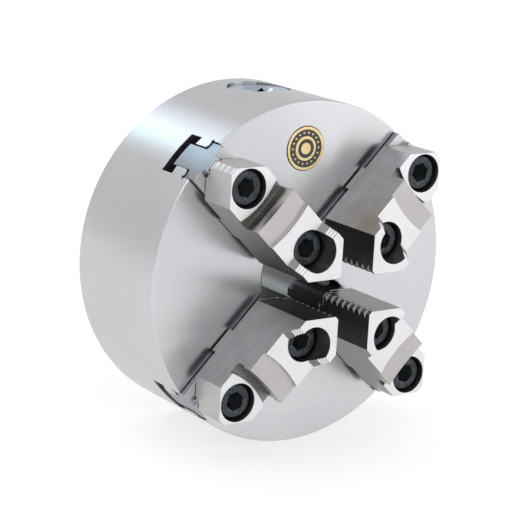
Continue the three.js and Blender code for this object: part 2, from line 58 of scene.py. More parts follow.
BODY_LOW, BODY_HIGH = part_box("chuck_body")
BODY_RADIUS = BODY_HIGH.x / MM
BODY_DEPTH = -BODY_LOW.y / MM
SEAT_GAP = 0.2
SLIDE_GAP = 0.3
RIM_CHAMFER = 0.8
BORE_RADIUS = 21
BORE_MOUTH = 1.3
REGISTER_RADIUS = 62.5
REGISTER_DEPTH = 5
HUB_RADIUS = 27
CHAMBER_RADIUS = 54.5
CHAMBER_FRONT = 46
MOUNT_CIRCLE = 70
MOUNT_HOLE_RADIUS = 4.25
MOUNT_HOLE_DEPTH = 18
MOUNT_THREAD_PITCH = 1.5
COVER_SCREW_CIRCLE = 57.5
COVER_SCREW_COUNT = 6
COVER_SCREW_RADIUS = 2
COVER_SCREW_HEAD_RADIUS = 3.7
COVER_SCREW_END = 19
COVER_SINK_RADIUS = 4.4
COVER_SINK_DEPTH = 3.4
SMALL_HEX_ACROSS_FLATS = 2.5
COVER_BACK = 5.2
COVER_FRONT = 8.2
COVER_SEAT = COVER_FRONT + SLIDE_GAP
COVER_RADIUS = 62.2
COLLAR_RADIUS = 33
COLLAR_FRONT = 29
SCROLL_BORE = 27.3

SLOT_HALF = 10.5
NECK_SLOT_HALF = 6.4
HEAD_SLOT_FLOOR = 59
FLANGE_SLOT_TOP = 50.2
SCROLL_FACE = 42.1
SLOT_RELIEF_RADIUS = 0.8
JAW_ANGLES = (45, 135, 225, 315)

PINION_AXIS = 22.4
PINION_BORE_RADIUS = 13.5
JOURNAL_RADIUS = 13.2
JOURNAL_INNER = 54.9
PINION_HEAD_RADIUS = 14.5
PINION_HEAD_START = 71.3
PINION_FACE = 78.4
PILOT_RADIUS = 4.5
PILOT_END = 23
STOP_GROOVE_RADIUS = 10.4
STOP_GROOVE_HALF = 2.7
STOP_PLACE = 68
STOP_OFFSET = 13.1
STOP_RADIUS = 2.4
STOP_END = 31.5
KEY_SQUARE = 10
KEY_DEPTH = 15

JAW_TIP = 13.2
TIP_HALF = 1.1
MASTER_TOP = 67.6
MASTER_HEAD_HALF = 10.2
MASTER_NECK_HALF = 6.1
MASTER_END = 79.3
FLANGE_END = 66
TONGUE_HALF = 3.9
TONGUE_TOP = 70.4
CROSS_PLACE = 48.7
CROSS_HALF = 6.35

TOP_HALF = 12.5
TOP_BOTTOM = 67.9
TENON_GAP = 0.9
TONGUE_RELIEF_RADIUS = 1.1
LEVEL_A = BODY_DEPTH + 40.8
LEVEL_B = BODY_DEPTH + 33.6
LEVEL_C = BODY_DEPTH + 32
LEVEL_D = BODY_DEPTH + 23.7
GROOVE_FLOOR = BODY_DEPTH + 21.6
GROOVE_WALL_TOP = BODY_DEPTH + 27
SLOPE_CREST, SLOPE_FOOT = 29.2, 34
SLOPE_TEETH = 3
SLOPE_TOOTH_DEPTH = 0.5
STEP_BC, STEP_BC_RADIUS = 46.3, 52
STEP_CD, STEP_CD_RADIUS = 55.8, 120
LEDGE_D, LEDGE_D_RADIUS = 60.8, 36
OUTER_SHOULDER = 68.6
OUTER_TIP = 79.2
OUTER_TIP_HALF = 1.9
SERRATION_PITCH = 4.1
INNER_SERRATION_DEPTH = 1.5
OUTER_SERRATION_DEPTH = 0.8

SCREW_PLACES = (CROSS_PLACE - 19.05, CROSS_PLACE + 19.05)
SCREW_TOPS = (BODY_DEPTH + 30.8, BODY_DEPTH + 21.3)
SCREW_END = 54.5
HEAD_RADIUS = 8
HEAD_HEIGHT = 10
SHANK_RADIUS = 4.9
COUNTERBORE_RADIUS = 8.8
PASS_RADIUS = 5.5
TAP_RADIUS = 5.2
HEX_ACROSS_FLATS = 8
HEX_DEPTH = 5.5

BADGE_RADIUS = 10
BADGE_BACK = BODY_DEPTH - 0.7
BADGE_FRONT = BODY_DEPTH + 0.4
BADGE_PLACE = (-1.9, 58.2)
BADGE_PIPS = 18
BADGE_PIP_RADIUS = 0.55
BADGE_PIP_CIRCLE = 7.15

# ---- Camera, matching the photograph's viewing angle ----

CAMERA_AZIMUTH = math.radians(-35.36)
CAMERA_ELEVATION = math.radians(14.06)
CAMERA_ROLL = math.radians(3.18)
CAMERA_DISTANCE = 10.541 * BODY_RADIUS * MM
CAMERA_TARGET = Vector((-0.2937 * BODY_RADIUS * MM, -BODY_DEPTH * MM, 0.1089 * BODY_RADIUS * MM))
CAMERA_LENS = 130.3
SENSOR_WIDTH = 36


def make_camera():
    azimuth, elevation = CAMERA_AZIMUTH, CAMERA_ELEVATION
    back = Vector((math.sin(azimuth) * math.cos(elevation), -math.cos(azimuth) * math.cos(elevation),
                   math.sin(elevation)))
    right = Vector((math.cos(azimuth), math.sin(azimuth), 0))
    up = back.cross(right)
    turned_right = right * math.cos(CAMERA_ROLL) + up * math.sin(CAMERA_ROLL)
    turned_up = up * math.cos(CAMERA_ROLL) - right * math.sin(CAMERA_ROLL)
    data = bpy.data.cameras.new("camera")
    data.lens = CAMERA_LENS
    data.sensor_width = SENSOR_WIDTH
    data.clip_start = 0.01
    camera = bpy.data.objects.new("camera", data)
    place_at = CAMERA_TARGET + back * CAMERA_DISTANCE
    basis = Matrix((turned_right, turned_up, back)).transposed().to_4x4()
    camera.matrix_world = Matrix.Translation(place_at) @ basis
    bpy.context.scene.collection.objects.link(camera)
    bpy.context.scene.camera = camera


# ---- Mesh making ----

CHUCK_TO_ROW = Matrix.Rotation(math.pi / 2, 4, "X") @ Matrix.Scale(MM, 4)


def mesh_object(name, vertices, faces):
    mesh = bpy.data.meshes.new(name)
    mesh.from_pydata(vertices, [], faces)
    mesh.update()
    piece = bpy.data.objects.new(name, mesh)
    bpy.context.scene.collection.objects.link(piece)
    return piece


def tidy_normals(piece):
    work = bmesh.new()
    work.from_mesh(piece.data)
    bmesh.ops.recalc_face_normals(work, faces=work.faces)
    work.to_mesh(piece.data)
    work.free()
    return piece


def turned(name, outline, segments):
    """A solid of revolution about Z from a closed outline of (radius, height) points."""
    vertices, rings = [], []
    for radius, height in outline:
        if radius < 1e-6:
            rings.append([len(vertices)] * segments)
            vertices.append((0, 0, height))
            continue
        first = len(vertices)
        rings.append(list(range(first, first + segments)))
        for step in range(segments):
            angle = TAU * step / segments
            vertices.append((radius * math.cos(angle), radius * math.sin(angle), height))
    faces = []
    for ring, following in zip(rings, rings[1:] + rings[:1]):
        for step in range(segments):
            corners = [ring[step], ring[(step + 1) % segments],
                       following[(step + 1) % segments], following[step]]
            unique = list(dict.fromkeys(corners))
            if len(unique) > 2:
                faces.append(unique)
    return tidy_normals(mesh_object(name, vertices, faces))


def prism(name, points, bottom, top):
    """An outline of (x, y) points standing from bottom to top along Z."""
    count = len(points)
    vertices = [(x, y, bottom) for x, y in points] + [(x, y, top) for x, y in points]
    faces = [list(range(count)), list(range(count, 2 * count))]
    faces += [[at, (at + 1) % count, count + (at + 1) % count, count + at] for at in range(count)]
    return tidy_normals(mesh_object(name, vertices, faces))


def box(name, x_range, y_range, z_range):
    (x0, x1), (y0, y1), (z0, z1) = x_range, y_range, z_range
    return prism(name, [(x0, y0), (x1, y0), (x1, y1), (x0, y1)], z0, z1)


def rod(name, radius, bottom, top, segments=64, centre=(0, 0)):
    points = circle(radius, segments, centre)
    return prism(name, points, bottom, top)


def circle(radius, segments, centre=(0, 0), start=0.0):
    return [(centre[0] + radius * math.cos(start + TAU * step / segments),
             centre[1] + radius * math.sin(start + TAU * step / segments)) for step in range(segments)]


def cone(name, bottom_radius, top_radius, bottom, top, segments=64):
    return turned(name, [(0, bottom), (bottom_radius, bottom), (top_radius, top), (0, top)], segments)


def moved(piece, matrix):
    piece.data.transform(matrix)
    return piece


def laid_across(piece):
    """Lays a piece made along Z along +Y instead, at the height of the pinion axis."""
    return moved(piece, Matrix.Translation((0, 0, PINION_AXIS)) @ Matrix.Rotation(-math.pi / 2, 4, "X"))


def laid_along_jaw(piece):
    """Lays a prism along X: its outline's x runs across the jaw, and its y along the chuck axis."""
    return moved(piece, Matrix(((0, 0, 1, 0), (1, 0, 0, 0), (0, 1, 0, 0), (0, 0, 0, 1))))


def laid_across_jaw(piece):
    """Stands a prism's outline up in the plane through the jaw's length and the chuck axis."""
    return moved(piece, Matrix.Rotation(math.pi / 2, 4, "X"))


def about_axis(piece, degrees):
    return moved(piece, Matrix.Rotation(math.radians(degrees), 4, "Z"))


def combine(piece, tools, operation):
    """Cuts the tools from the piece, or joins them to it, and removes the tools."""
    group = bpy.data.collections.new("tools")
    bpy.context.scene.collection.children.link(group)
    for tool in tools:
        group.objects.link(tool)
    modifier = piece.modifiers.new("combine", "BOOLEAN")
    modifier.operation = operation
    modifier.operand_type = "COLLECTION"
    modifier.solver = "EXACT"
    modifier.collection = group
    bpy.context.view_layer.update()
    evaluated = piece.evaluated_get(bpy.context.evaluated_depsgraph_get())
    result = bpy.data.meshes.new_from_object(evaluated)
    piece.modifiers.clear()
    old = piece.data
    piece.data = result
    bpy.data.meshes.remove(old)
    for tool in tools:
        mesh = tool.data
        bpy.data.objects.remove(tool)
        bpy.data.meshes.remove(mesh)
    bpy.data.collections.remove(group)
    return piece


def cut(piece, *tools):
    return combine(piece, tools, "DIFFERENCE")


def join(piece, *tools):
    return combine(piece, tools, "UNION")


def finish_mesh(piece, bevel=0.25, sharp=30, segments=2, merge=0.004):
    """Merges slivers, bevels the sharp edges and smooths the shading between them."""
    work = bmesh.new()
    work.from_mesh(piece.data)
    bmesh.ops.remove_doubles(work, verts=work.verts, dist=merge)
    bmesh.ops.dissolve_limit(work, angle_limit=math.radians(0.3), verts=work.verts, edges=work.edges,
                             delimit={"MATERIAL"})
    work.to_mesh(piece.data)
    work.free()
    for polygon in piece.data.polygons:
        polygon.use_smooth = True
    if bevel:
        edge = piece.modifiers.new("edge_break", "BEVEL")
        edge.width = bevel * MM
        edge.segments = segments
        edge.limit_method = "ANGLE"
        edge.angle_limit = math.radians(sharp)
        edge.miter_outer = "MITER_PATCH"
        edge.use_clamp_overlap = False
        edge.harden_normals = False
    smooth = piece.modifiers.new("shading", "WEIGHTED_NORMAL")
    smooth.weight = 80
    smooth.keep_sharp = True
    return piece


def place(piece, body, nodes, slot):
    """Turns a finished piece into the row frame, hangs it on its body and hides the CAD nodes it replaces."""
    moved(piece, CHUCK_TO_ROW)
    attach(piece, body)
    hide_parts(*nodes)
    return piece


# ---- Materials ----

def new_material(name):
    material = bpy.data.materials.new(name)
    material.use_nodes = True
    nodes = material.node_tree.nodes
    shader = nodes["Principled BSDF"]
    return material, nodes, material.node_tree.links, shader


def coordinates(nodes, links, angle=0.0, stretch=(1, 1, 1)):
    """The piece's own coordinates in millimetres, turned about the chuck axis so that X runs along a jaw."""
    source = nodes.new("ShaderNodeTexCoord")
    turn = nodes.new("ShaderNodeMapping")
    turn.inputs["Rotation"].default_value = (0, math.radians(angle), 0)
    turn.inputs["Scale"].default_value = (1 / MM,) * 3
    links.new(source.outputs["Object"], turn.inputs["Vector"])
    pull = nodes.new("ShaderNodeVectorMath")
    pull.operation = "MULTIPLY"
    pull.inputs[1].default_value = stretch
    links.new(turn.outputs["Vector"], pull.inputs[0])
    return pull.outputs["Vector"]


def radius_and_height(nodes, links):
    """Distance from the chuck axis, and place along it, as the X and Y of a vector, in millimetres."""
    split = nodes.new("ShaderNodeSeparateXYZ")
    links.new(coordinates(nodes, links), split.inputs[0])
    flat = nodes.new("ShaderNodeCombineXYZ")
    links.new(split.outputs["X"], flat.inputs["X"])
    links.new(split.outputs["Z"], flat.inputs["Z"])
    length = nodes.new("ShaderNodeVectorMath")
    length.operation = "LENGTH"
    links.new(flat.outputs["Vector"], length.inputs[0])
    result = nodes.new("ShaderNodeCombineXYZ")
    links.new(length.outputs["Value"], result.inputs["X"])
    links.new(split.outputs["Y"], result.inputs["Y"])
    return result.outputs["Vector"]


def noise_value(nodes, links, vector, scale, detail=3.0, roughness=0.55):
    texture = nodes.new("ShaderNodeTexNoise")
    texture.inputs["Scale"].default_value = scale
    texture.inputs["Detail"].default_value = detail
    texture.inputs["Roughness"].default_value = roughness
    links.new(vector, texture.inputs["Vector"])
    return texture.outputs["Fac"]


def ranged(nodes, links, value, low, high, from_low=0.3, from_high=0.7):
    scale = nodes.new("ShaderNodeMapRange")
    scale.inputs["From Min"].default_value = from_low
    scale.inputs["From Max"].default_value = from_high
    scale.inputs["To Min"].default_value = low
    scale.inputs["To Max"].default_value = high
    links.new(value, scale.inputs["Value"])
    return scale.outputs["Result"]


def blended(nodes, links, factor, dark, light):
    mix = nodes.new("ShaderNodeMix")
    mix.data_type = "RGBA"
    mix.inputs["A"].default_value = (*dark, 1)
    mix.inputs["B"].default_value = (*light, 1)
    links.new(factor, mix.inputs["Factor"])
    return mix.outputs["Result"]


def bumped(nodes, links, shader, height, strength, distance):
    bump = nodes.new("ShaderNodeBump")
    bump.inputs["Strength"].default_value = strength
    bump.inputs["Distance"].default_value = distance * MM
    links.new(height, bump.inputs["Height"])
    links.new(bump.outputs["Normal"], shader.inputs["Normal"])


def turned_metal(name, dark, light, roughness, anisotropy, ring_scale=0.9, bump=0.25):
    """Metal finished on a lathe: fine marks run round the chuck axis, and highlights stretch across them."""
    material, nodes, links, shader = new_material(name)
    vector = radius_and_height(nodes, links)
    rings = noise_value(nodes, links, vector, ring_scale, 5, 0.7)
    patches = noise_value(nodes, links, coordinates(nodes, links), 0.035, 2)
    mixed = nodes.new("ShaderNodeMath")
    mixed.operation = "MULTIPLY_ADD"
    mixed.inputs[1].default_value = 0.65
    links.new(rings, mixed.inputs[0])
    lesser = nodes.new("ShaderNodeMath")
    lesser.operation = "MULTIPLY"
    lesser.inputs[1].default_value = 0.35
    links.new(patches, lesser.inputs[0])
    links.new(lesser.outputs[0], mixed.inputs[2])
    links.new(blended(nodes, links, ranged(nodes, links, mixed.outputs[0], 0, 1, 0.35, 0.65), dark, light),
              shader.inputs["Base Color"])
    links.new(ranged(nodes, links, rings, roughness * 0.9, roughness * 1.12), shader.inputs["Roughness"])
    bumped(nodes, links, shader, rings, bump, 0.02)
    shader.inputs["Metallic"].default_value = 1
    shader.inputs["Anisotropic"].default_value = anisotropy
    shader.inputs["Anisotropic Rotation"].default_value = 0.25
    tangent = nodes.new("ShaderNodeTangent")
    tangent.direction_type = "RADIAL"
    tangent.axis = "Y"
    links.new(tangent.outputs["Tangent"], shader.inputs["Tangent"])
    return material


def brushed_metal(name, dark, light, roughness, angle=0.0, grain=(0.05, 2.2, 2.2), bump=0.3):
    """Ground or brushed metal for the jaw at the angle. Its marks run where the grain value is smallest."""
    material, nodes, links, shader = new_material(name)
    marks = noise_value(nodes, links, coordinates(nodes, links, angle, grain), 1.0, 5, 0.65)
    clouds = noise_value(nodes, links, coordinates(nodes, links, angle), 0.11, 3)
    shade = nodes.new("ShaderNodeMix")
    shade.data_type = "FLOAT"
    shade.inputs["Factor"].default_value = 0.35
    links.new(marks, shade.inputs["A"])
    links.new(clouds, shade.inputs["B"])
    links.new(blended(nodes, links, ranged(nodes, links, shade.outputs["Result"], 0, 1), dark, light),
              shader.inputs["Base Color"])
    links.new(ranged(nodes, links, marks, roughness * 0.8, roughness * 1.25), shader.inputs["Roughness"])
    bumped(nodes, links, shader, marks, bump, 0.03)
    shader.inputs["Metallic"].default_value = 1
    return material


def black_oxide(name, dark, light, roughness):
    """Oil-dipped black oxide with lighter wear clouds."""
    material, nodes, links, shader = new_material(name)
    vector = coordinates(nodes, links)
    wear = noise_value(nodes, links, vector, 0.55, 5, 0.6)
    grain = noise_value(nodes, links, vector, 6.0, 3)
    links.new(blended(nodes, links, ranged(nodes, links, wear, 0, 1, 0.4, 0.75), dark, light),
              shader.inputs["Base Color"])
    links.new(ranged(nodes, links, grain, roughness * 0.8, roughness * 1.3), shader.inputs["Roughness"])
    bumped(nodes, links, shader, grain, 0.25, 0.02)
    shader.inputs["Metallic"].default_value = 0.85
    return material


def brass(name, dark, light, roughness):
    material, nodes, links, shader = new_material(name)
    vector = coordinates(nodes, links)
    stains = noise_value(nodes, links, vector, 0.4, 4, 0.6)
    grain = noise_value(nodes, links, vector, 9.0, 3)
    links.new(blended(nodes, links, ranged(nodes, links, stains, 0, 1), dark, light),
              shader.inputs["Base Color"])
    links.new(ranged(nodes, links, grain, roughness * 0.7, roughness * 1.4), shader.inputs["Roughness"])
    bumped(nodes, links, shader, grain, 0.15, 0.02)
    shader.inputs["Metallic"].default_value = 1
    return material


def enamel(name):
    material, nodes, links, shader = new_material(name)
    speckle = noise_value(nodes, links, coordinates(nodes, links), 5.0, 3)
    links.new(blended(nodes, links, speckle, (0.008, 0.008, 0.007), (0.03, 0.027, 0.02)),
              shader.inputs["Base Color"])
    links.new(ranged(nodes, links, speckle, 0.22, 0.4), shader.inputs["Roughness"])
    shader.inputs["Coat Weight"].default_value = 0.4
    return material


def pale_floor(name):
    material, nodes, links, shader = new_material(name)
    clouds = noise_value(nodes, links, coordinates(nodes, links), 0.004, 2)
    links.new(blended(nodes, links, clouds, (0.42, 0.42, 0.425), (0.46, 0.46, 0.46)),
              shader.inputs["Base Color"])
    shader.inputs["Roughness"].default_value = 0.9
    shader.inputs["Emission Color"].default_value = (1, 1, 1, 1)
    shader.inputs["Emission Strength"].default_value = 0.62
    return material


FACE = turned_metal("turned_face", (0.60, 0.605, 0.62), (0.665, 0.665, 0.675), 0.30, 0.75, 2.2, 0.03)
SIDE = turned_metal("turned_side", (0.57, 0.56, 0.565), (0.64, 0.63, 0.635), 0.34, 0.85, 0.9, 0.06)
# Painted shade: the bore and the scroll plate deep inside are turned steel painted dark, as shade.
SHADED_BORE = turned_metal("bored_steel_painted_shade", (0.13, 0.12, 0.11), (0.24, 0.225, 0.205), 0.36, 0.5)
# Painted shade: the slot walls are the body's steel painted dark, as shade inside the slots.
SHADED_SLOT = brushed_metal("milled_slot_painted_shade", (0.20, 0.20, 0.21), (0.34, 0.34, 0.36), 0.35)
BACK = turned_metal("turned_back", (0.50, 0.50, 0.51), (0.64, 0.64, 0.65), 0.36, 0.6)
# Painted shade: the counterbore walls and deep floors are the jaw's steel painted darker, as shade in the
# holes.
SHADED_COUNTERBORE = brushed_metal("counterbored_steel_painted_shade", (0.20, 0.188, 0.172), (0.52, 0.50, 0.465), 0.34,
                            0, (0.3, 2.5, 0.3))
# Painted reflection: the pinion's steel is painted darker and bluish, standing in for cool reflections on its
# face.
PINION_STEEL_PAINTED_REFLECTION = turned_metal("pinion_steel_painted_reflection", (0.36, 0.40, 0.46), (0.48, 0.52, 0.59), 0.26, 0.0)
OXIDE = black_oxide("black_oxide", (0.012, 0.013, 0.015), (0.05, 0.055, 0.062), 0.42)
# Lighter oxide: on the jaw screws it marks the head tops, partly wear and partly a painted highlight on faces
# toward the front; the cover screws are wholly in it.
OXIDE_WORN_AND_LIT = black_oxide("black_oxide_worn_and_lit", (0.036, 0.041, 0.048), (0.085, 0.094, 0.106), 0.34)
# Painted shade: hex and key sockets are painted near-black, as shade deep in the sockets.
SOCKET_OXIDE_PAINTED_SHADE = black_oxide("black_oxide_socket_painted_shade", (0.003, 0.0035, 0.004), (0.010, 0.011, 0.012), 0.4)
BRASS = brass("brass", (0.66, 0.50, 0.24), (0.86, 0.72, 0.42), 0.26)
ENAMEL = enamel("dark_enamel")
TOPS = {}
SHADED_WALLS = {}
WEDGES = {}
SHADED_BANDS = {}
SHADED_GROOVES = {}
SHADED_MASTERS = {}
for number, angle in enumerate(JAW_ANGLES, 1):
    TOPS[number] = brushed_metal(
        f"ground_top_{number}", (0.69, 0.68, 0.69), (0.79, 0.78, 0.79), 0.32, angle, (0.9, 0.9, 0.9), 0.12)
    # Painted shade: the side and under faces are the tops' ground steel painted darker.
    SHADED_WALLS[number] = brushed_metal(
        f"ground_side_painted_shade_{number}", (0.23, 0.222, 0.226), (0.40, 0.385, 0.395), 0.34, angle)
    # The noses face dark surroundings in the photograph, so their steel is darker than the rest of the jaw.
    WEDGES[number] = brushed_metal(
        f"ground_wedge_{number}", (0.055, 0.056, 0.06), (0.105, 0.106, 0.112), 0.42, angle,
        (1.5, 1.5, 0.08), 0.3)
    # Painted shade: the middle step's flat, the outward walls and the outer faces are the tops' ground steel
    # painted darker.
    SHADED_BANDS[number] = brushed_metal(
        f"ground_band_painted_shade_{number}", (0.42, 0.405, 0.395), (0.54, 0.52, 0.51), 0.34, angle, (2.0, 0.12, 2.0), 0.2)
    # Painted shade: the groove, the slope facets and the inner tip faces are the same ground steel painted
    # darker still, as shade in the recesses.
    SHADED_GROOVES[number] = brushed_metal(
        f"ground_groove_painted_shade_{number}", (0.14, 0.133, 0.126), (0.32, 0.31, 0.295), 0.38, angle,
        (2.0, 0.12, 2.0), 0.2)
    # Painted shade: the master jaws' walls are milled steel painted dark, as shade inside the slots; their
    # tops take the bright face steel.
    SHADED_MASTERS[number] = brushed_metal(
        f"milled_master_painted_shade_{number}", (0.20, 0.205, 0.22), (0.34, 0.345, 0.37), 0.36, angle)


def paint(piece, materials, choose):
    """Gives every face the material whose index choose(centre, normal) returns, in the chuck's own frame."""
    for material in materials:
        piece.data.materials.append(material)
    for polygon in piece.data.polygons:
        polygon.material_index = choose(polygon.center, polygon.normal)


# ---- Body ----

def body_outline():
    rim = RIM_CHAMFER
    return [
        (BORE_RADIUS, REGISTER_DEPTH + rim), (BORE_RADIUS + rim, REGISTER_DEPTH),
        (HUB_RADIUS, REGISTER_DEPTH), (HUB_RADIUS, CHAMBER_FRONT), (CHAMBER_RADIUS, CHAMBER_FRONT),
        (CHAMBER_RADIUS, COVER_SEAT), (REGISTER_RADIUS, COVER_SEAT), (REGISTER_RADIUS, 0.5),
        (REGISTER_RADIUS + 0.5, 0), (BODY_RADIUS - rim, 0), (BODY_RADIUS - 0.25 * rim, 0.25 * rim),
        (BODY_RADIUS, rim), (BODY_RADIUS, BODY_DEPTH - rim),
        (BODY_RADIUS - 0.25 * rim, BODY_DEPTH - 0.25 * rim), (BODY_RADIUS - rim, BODY_DEPTH),
        (BORE_RADIUS + BORE_MOUTH, BODY_DEPTH), (BORE_RADIUS, BODY_DEPTH - BORE_MOUTH),
    ]


def threaded_hole_tool(radius, depth, pitch, place):
    """A blind hole whose wall carries the grooves of a thread, with a countersunk mouth."""
    outline = [(0, -1), (radius + 1.6, -1), (radius + 0.4, 0.9)]
    count = int((depth - 1.5) / pitch)
    for turn in range(count):
        low = 0.9 + turn * pitch
        outline += [(radius - 0.35, low + 0.35 * pitch), (radius - 0.35, low + 0.5 * pitch),
                    (radius + 0.3, low + 0.85 * pitch), (radius + 0.3, low + pitch)]
    outline += [(radius - 0.4, depth - 0.4), (0, depth)]
    return moved(turned("thread_tool", outline, 40), Matrix.Translation((*place, 0)))


def around(radius, degrees):
    angle = math.radians(degrees)
    return radius * math.cos(angle), radius * math.sin(angle)


def pinion_bore_tools():
    head_radius, head_start = PINION_HEAD_RADIUS + 0.35, PINION_HEAD_START - SLIDE_GAP
    return [laid_across(piece) for piece in (
        rod("bore_tool", PINION_BORE_RADIUS, CHAMBER_RADIUS - 8, BODY_RADIUS, 96),
        rod("head_bore_tool", head_radius, head_start, BODY_RADIUS + FAR, 96),
        rod("pilot_tool", PILOT_RADIUS + SLIDE_GAP, PILOT_END - SLIDE_GAP, HUB_RADIUS + 2, 32),
    )]


def chuck_body():
    piece = turned("chuck_body_finish", body_outline(), BODY_STEPS)
    tools = []
    start, end = BORE_RADIUS / 2, BODY_RADIUS + FAR
    wide, narrow = SLOT_HALF, NECK_SLOT_HALF
    open_front, floor, flange = BODY_DEPTH + FAR, HEAD_SLOT_FLOOR, FLANGE_SLOT_TOP
    profile = [(-wide, floor), (-wide, open_front), (wide, open_front), (wide, floor),
               (narrow, floor), (narrow, flange), (wide, flange), (wide, SCROLL_FACE),
               (-wide, SCROLL_FACE), (-wide, flange), (-narrow, flange), (-narrow, floor)]
    for angle in JAW_ANGLES:
        slot = prism("slot_tool", profile, start, end)
        tools.append(about_axis(laid_along_jaw(slot), angle))
    cut(piece, *tools)
    tools = []
    for angle in JAW_ANGLES:
        for across in (-wide, -narrow, wide, narrow):
            relief = along_rod(SLOT_RELIEF_RADIUS, across, HEAD_SLOT_FLOOR, (start, end), 16)
            tools.append(about_axis(relief, angle))
    cut(piece, *tools)
    tools = []
    for side in (0, 180):
        drive = pinion_bore_tools()
        stop_place = (STOP_OFFSET, STOP_PLACE)
        drive.append(rod("stop_tool", STOP_RADIUS + SEAT_GAP, -1, STOP_END + SLIDE_GAP, 32, stop_place))
        tools += [about_axis(tool, side) for tool in drive]
    cut(piece, *tools)
    tools = [threaded_hole_tool(MOUNT_HOLE_RADIUS, MOUNT_HOLE_DEPTH, MOUNT_THREAD_PITCH,
                                around(MOUNT_CIRCLE, 120 * hole)) for hole in range(3)]
    for screw in range(COVER_SCREW_COUNT):
        at = around(COVER_SCREW_CIRCLE, 60 * screw)
        hole_radius = COVER_SCREW_RADIUS + SEAT_GAP
        tools.append(rod("screw_tool", hole_radius, COVER_SEAT - 1, COVER_SCREW_END + 1, 24, at))
    badge_floor = BADGE_BACK - SEAT_GAP
    tools.append(rod("badge_tool", BADGE_RADIUS + SEAT_GAP, badge_floor, BODY_DEPTH + 1, 96, BADGE_PLACE))
    cut(piece, *tools)

    face, side, bore, slot, back = range(5)

    def zone(centre, normal):
        radius = math.hypot(centre.x, centre.y)
        if normal.z > 0.5 and centre.z > BODY_DEPTH - 1.5:
            return face
        if radius > BODY_RADIUS - 1.2 and abs(normal.z) < 0.9:
            return side
        # Faces of the bore get the dark painted-shade bore steel.
        if radius < BORE_RADIUS + 2:
            return bore
        if normal.z < -0.5 or centre.z < COVER_SEAT + 1:
            return back
        # Faces inside the slots get the dark painted-shade slot steel.
        return slot

    finish_mesh(piece, 0.3)
    paint(piece, (FACE, SIDE, SHADED_BORE, SHADED_SLOT, BACK), zone)
    return place(piece, "chuck", ["chuck_body"], "turned_steel")


# ---- Back cover and its screws ----

def back_cover():
    outline = [(SCROLL_BORE, COVER_BACK), (COVER_RADIUS - 0.4, COVER_BACK), (COVER_RADIUS, COVER_BACK + 0.4),
               (COVER_RADIUS, COVER_FRONT), (COLLAR_RADIUS, COVER_FRONT), (COLLAR_RADIUS, COLLAR_FRONT),
               (SCROLL_BORE, COLLAR_FRONT)]
    piece = turned("back_cover_finish", outline, 144)
    tools = []
    for side in (0, 180):
        pilot = laid_across(rod("pilot_tool", PILOT_RADIUS + 0.8, HUB_RADIUS - 2, COLLAR_RADIUS + 2, 32))
        tools.append(about_axis(pilot, side))
    for screw in range(COVER_SCREW_COUNT):
        at = around(COVER_SCREW_CIRCLE, 60 * screw)
        sink = cone("sink_tool", COVER_SINK_RADIUS, 0.5, COVER_BACK - 0.5, COVER_BACK + COVER_SINK_DEPTH, 48)
        tools.append(moved(sink, Matrix.Translation((*at, 0))))
        tools.append(rod("pass_tool", COVER_SCREW_RADIUS + SEAT_GAP, COVER_BACK - 1, COVER_FRONT + 1, 32, at))
    cut(piece, *tools)
    finish_mesh(piece, 0.15)
    paint(piece, (BACK,), lambda centre, normal: 0)
    return place(piece, "chuck", ["back_cover"], "machined_steel")


def cover_screw(number):
    low, head, shank, end = COVER_BACK + 0.1, COVER_SCREW_HEAD_RADIUS, COVER_SCREW_RADIUS, COVER_SCREW_END
    outline = [(0, low), (head - 0.2, low), (head, low + 0.2), (shank, low + 0.2 + head - shank),
               (shank, end - 0.4), (shank - 0.4, end), (0, end)]
    piece = turned(f"cover_screw_{number}_finish", outline, 48)
    cut(piece, prism("hex_tool", circle(SMALL_HEX_ACROSS_FLATS / math.sqrt(3), 6), low - 1, low + 1.6))
    finish_mesh(piece, 0.08)
    # The hex socket is painted near-black as shade; the rest of the screw takes the lighter oxide.
    paint(piece, (OXIDE_WORN_AND_LIT, SOCKET_OXIDE_PAINTED_SHADE),
          lambda centre, normal: int(math.hypot(centre.x, centre.y) < 1.5 and centre.z < low + 1.8))
    moved(piece, Matrix.Translation((*around(COVER_SCREW_CIRCLE, 60 * (number - 1)), 0)))
    return place(piece, "chuck", [f"cover_screw_{number}"], "black_oxide_steel")


# ---- Scroll plate: the CAD solid keeps its mesh and gets the bore's turned steel, painted dark as shade ----

def scroll_plate():
    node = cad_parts["scroll_plate"]
    node.data.materials.clear()
    node.data.materials.append(SHADED_BORE)


# ---- Pinions ----

RING_TEETH = 50
PINION_TEETH = 10
TOOTH_INNER = 40.5
TOOTH_OUTER = 53
MODULE = 2 * TOOTH_OUTER / RING_TEETH
PRESSURE_ANGLE = math.radians(20)
PROFILE_SHIFT = 0.41
BACKLASH = 0.07 * MODULE
PITCH_RADIUS = MODULE * PINION_TEETH / 2
ROOT_RADIUS = PITCH_RADIUS - (1.25 - PROFILE_SHIFT) * MODULE
TIP_RADIUS = PITCH_RADIUS + 1.1 * MODULE


def tooth_half_angle(radius):
    base = PITCH_RADIUS * math.cos(PRESSURE_ANGLE)
    half = MODULE * (math.pi / 4 + PROFILE_SHIFT * math.tan(PRESSURE_ANGLE)) - BACKLASH
    angle = math.acos(min(1, base / radius))

    def involute(value):
        return math.tan(value) - value

    return half / PITCH_RADIUS + involute(PRESSURE_ANGLE) - involute(angle)


